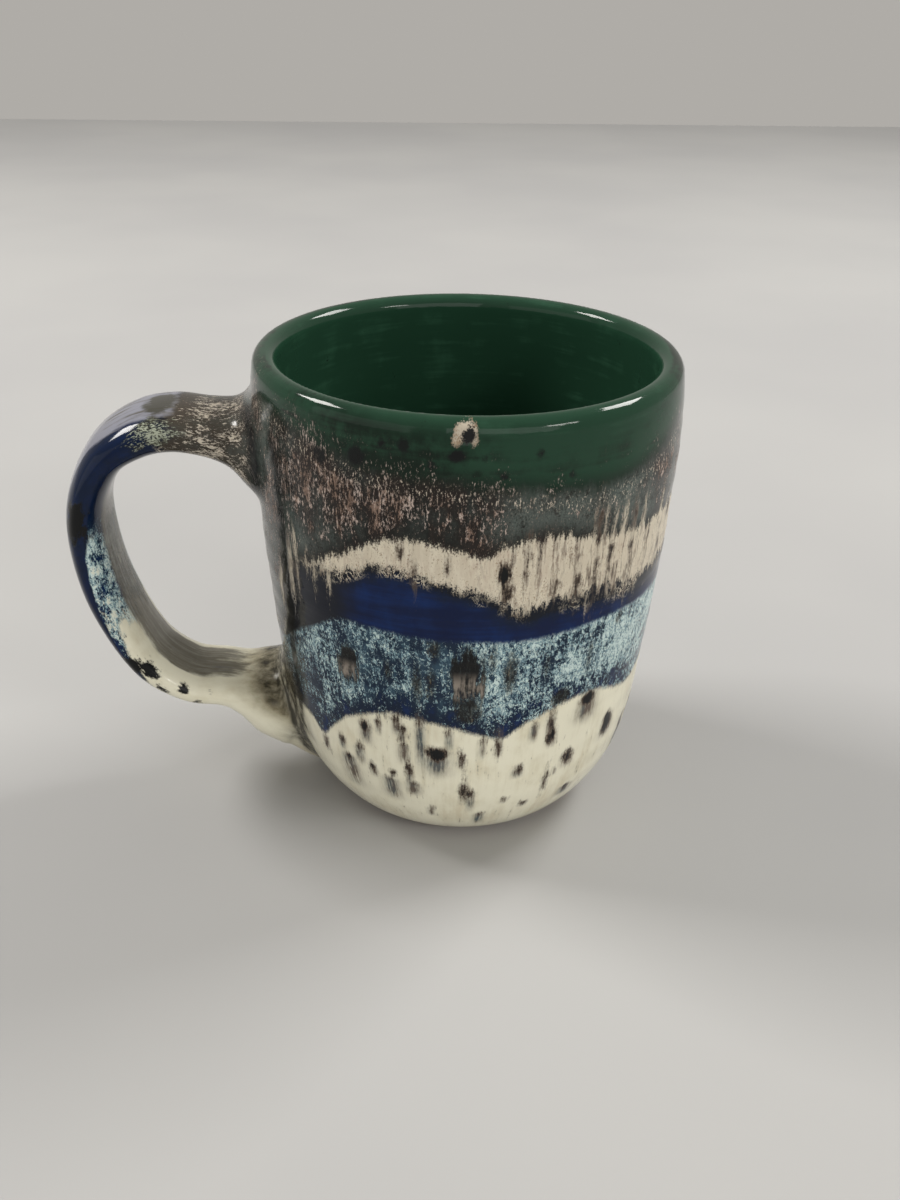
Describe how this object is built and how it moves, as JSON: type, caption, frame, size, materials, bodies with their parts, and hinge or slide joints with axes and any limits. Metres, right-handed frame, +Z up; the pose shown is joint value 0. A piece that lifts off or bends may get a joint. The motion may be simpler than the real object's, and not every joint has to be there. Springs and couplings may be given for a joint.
{
  "type": "stoneware mug",
  "caption": "Handmade round stoneware mug with a rolled lip, rounded base, pulled strap handle and layered poured glazes.",
  "frame": {"origin": "centre of the flat foot, on the mug's axis, on the plane it stands on", "axes": "+Z up along the mug's axis; the handle points along -X; +Y is the drinker's far side when the handle is at the left"},
  "size_m": [0.1253, 0.0868, 0.1],
  "materials": {
    "bare_clay": "unglazed fired stoneware, dry and slightly gritty",
    "joint_glaze": "glossy brown and cream glaze run over worked clay",
    "green_glaze": "deep green, high gloss",
    "dark_glaze": "black-brown with fine pink-brown flecks, glossy",
    "sand_glaze": "sand colour with vertical brown streaks, semi-gloss",
    "cobalt_glaze": "cobalt blue, high gloss",
    "sky_glaze": "pale blue mottle over dark blue, glossy",
    "cream_glaze": "cream with dark brown iron spots and streaks, glossy"
  },
  "bodies": {
    "root": {"clay_body": "bare_clay", "handle_strap": "bare_clay", "handle_upper_joint": "joint_glaze", "handle_lower_joint": "joint_glaze", "liner_glaze": "green_glaze", "rim_green_glaze": "green_glaze", "dark_band_glaze": "dark_glaze", "sand_band_glaze": "sand_glaze", "cobalt_band_glaze": "cobalt_glaze", "sky_band_glaze": "sky_glaze", "cream_base_glaze": "cream_glaze", "handle_blue_glaze": "cobalt_glaze", "handle_cream_glaze": "cream_glaze"}
  },
  "joints": []
}
